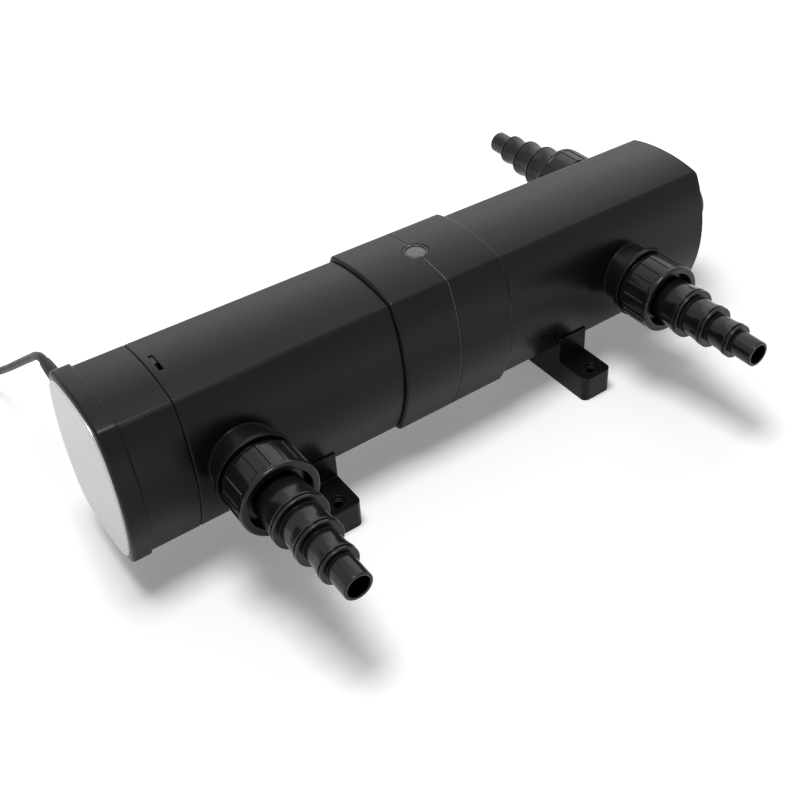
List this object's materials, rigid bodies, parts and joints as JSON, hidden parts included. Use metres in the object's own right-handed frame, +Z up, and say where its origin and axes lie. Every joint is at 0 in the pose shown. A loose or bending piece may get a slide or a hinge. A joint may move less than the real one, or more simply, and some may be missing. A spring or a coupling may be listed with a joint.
{
  "type": "uv clarifier",
  "caption": "In-line UV pond clarifier: long bulged black tank on two saddle feet, stepped hose tails on union nuts, twist-off lamp head with quartz sleeve, mains cord.",
  "frame": {"origin": "on the ground under the middle of the clarifier's length and width, between its feet", "axes": "+X along the tank from the lamp head to the drain end, -Y towards the side with two ports, +Z up"},
  "size_m": [0.694, 0.522, 0.1505],
  "materials": {
    "black_plastic": "satin moulded black ABS",
    "fitting_plastic": "black polypropylene with a soft gloss",
    "label_silver": "matte silver plate, blank",
    "seal_rubber": "black rubber",
    "silicone": "red silicone",
    "gasket_grey": "grey rubber",
    "lens_grey": "smoked grey window",
    "quartz": "clear quartz",
    "lamp_glass": "clear lamp glass",
    "white_plastic": "white thermoplastic",
    "natural_plastic": "natural polypropylene",
    "steel": "stainless steel",
    "brass": "nickel-bright brass",
    "cord_rubber": "black rubber sheath"
  },
  "bodies": {
    "tank": {"tank_left": "black_plastic", "tank_right": "black_plastic", "collar_left": "black_plastic", "collar_right": "black_plastic", "seam_gasket": "gasket_grey", "inspection_lens": "lens_grey", "lens_ring": "black_plastic", "saddle_foot_left": "black_plastic", "saddle_foot_right": "black_plastic", "sleeve_support": "natural_plastic", "inlet_seal": "seal_rubber", "front_outlet_seal": "seal_rubber", "back_outlet_seal": "seal_rubber", "drain_seal": "seal_rubber"},
    "lamp_head": {"end_cover": "black_plastic", "label_plate": "label_silver", "cover_screws": "steel", "lamp_head_housing": "black_plastic", "head_seal": "seal_rubber", "lock_lug": "black_plastic", "ballast": "white_plastic", "terminal_block": "white_plastic", "lamp_socket": "white_plastic", "lamp_contacts": "brass", "lamp_base": "white_plastic", "uvc_lamp": "lamp_glass", "quartz_sleeve": "quartz", "sleeve_nut": "black_plastic", "sleeve_seal": "silicone", "strain_relief": "cord_rubber", "power_cord": "cord_rubber", "cord_coil": "cord_rubber", "cord_ties": "cord_rubber", "cord_end": "cord_rubber", "plug_body": "cord_rubber", "plug_pins": "brass"},
    "drain_cap": {"drain_cap": "black_plastic"},
    "inlet_nut": {"inlet_union_nut": "fitting_plastic"},
    "inlet_tail": {"inlet_hose_tail": "fitting_plastic"},
    "front_outlet_nut": {"front_outlet_union_nut": "fitting_plastic"},
    "front_outlet_tail": {"front_outlet_hose_tail": "fitting_plastic"},
    "back_outlet_nut": {"back_outlet_union_nut": "fitting_plastic"},
    "back_outlet_tail": {"back_outlet_hose_tail": "fitting_plastic"}
  },
  "joints": [
    {"name": "lamp_head_twist", "type": "hinge", "parent": "tank", "child": "lamp_head", "pos_m": [-0.225, 0, 0.088], "axis": [1, 0, 0], "range_deg": [0, 10]},
    {"name": "drain_cap_turn", "type": "hinge", "parent": "tank", "child": "drain_cap", "pos_m": [0.264, 0, 0.088], "axis": [1, 0, 0], "range_deg": [0, 360]},
    {"name": "inlet_nut_turn", "type": "hinge", "parent": "tank", "child": "inlet_nut", "pos_m": [-0.192, -0.086, 0.088], "axis": [0, -1, 0], "range_deg": [0, 360]},
    {"name": "inlet_tail_swivel", "type": "hinge", "parent": "tank", "child": "inlet_tail", "pos_m": [-0.192, -0.14, 0.088], "axis": [0, -1, 0], "range_deg": [-180, 180]},
    {"name": "front_outlet_nut_turn", "type": "hinge", "parent": "tank", "child": "front_outlet_nut", "pos_m": [0.1525, -0.086, 0.088], "axis": [0, -1, 0], "range_deg": [0, 360]},
    {"name": "front_outlet_tail_swivel", "type": "hinge", "parent": "tank", "child": "front_outlet_tail", "pos_m": [0.1525, -0.14, 0.088], "axis": [0, -1, 0], "range_deg": [-180, 180]},
    {"name": "back_outlet_nut_turn", "type": "hinge", "parent": "tank", "child": "back_outlet_nut", "pos_m": [0.2125, 0.086, 0.088], "axis": [0, 1, 0], "range_deg": [0, 360]},
    {"name": "back_outlet_tail_swivel", "type": "hinge", "parent": "tank", "child": "back_outlet_tail", "pos_m": [0.2125, 0.14, 0.088], "axis": [0, 1, 0], "range_deg": [-180, 180]}
  ]
}
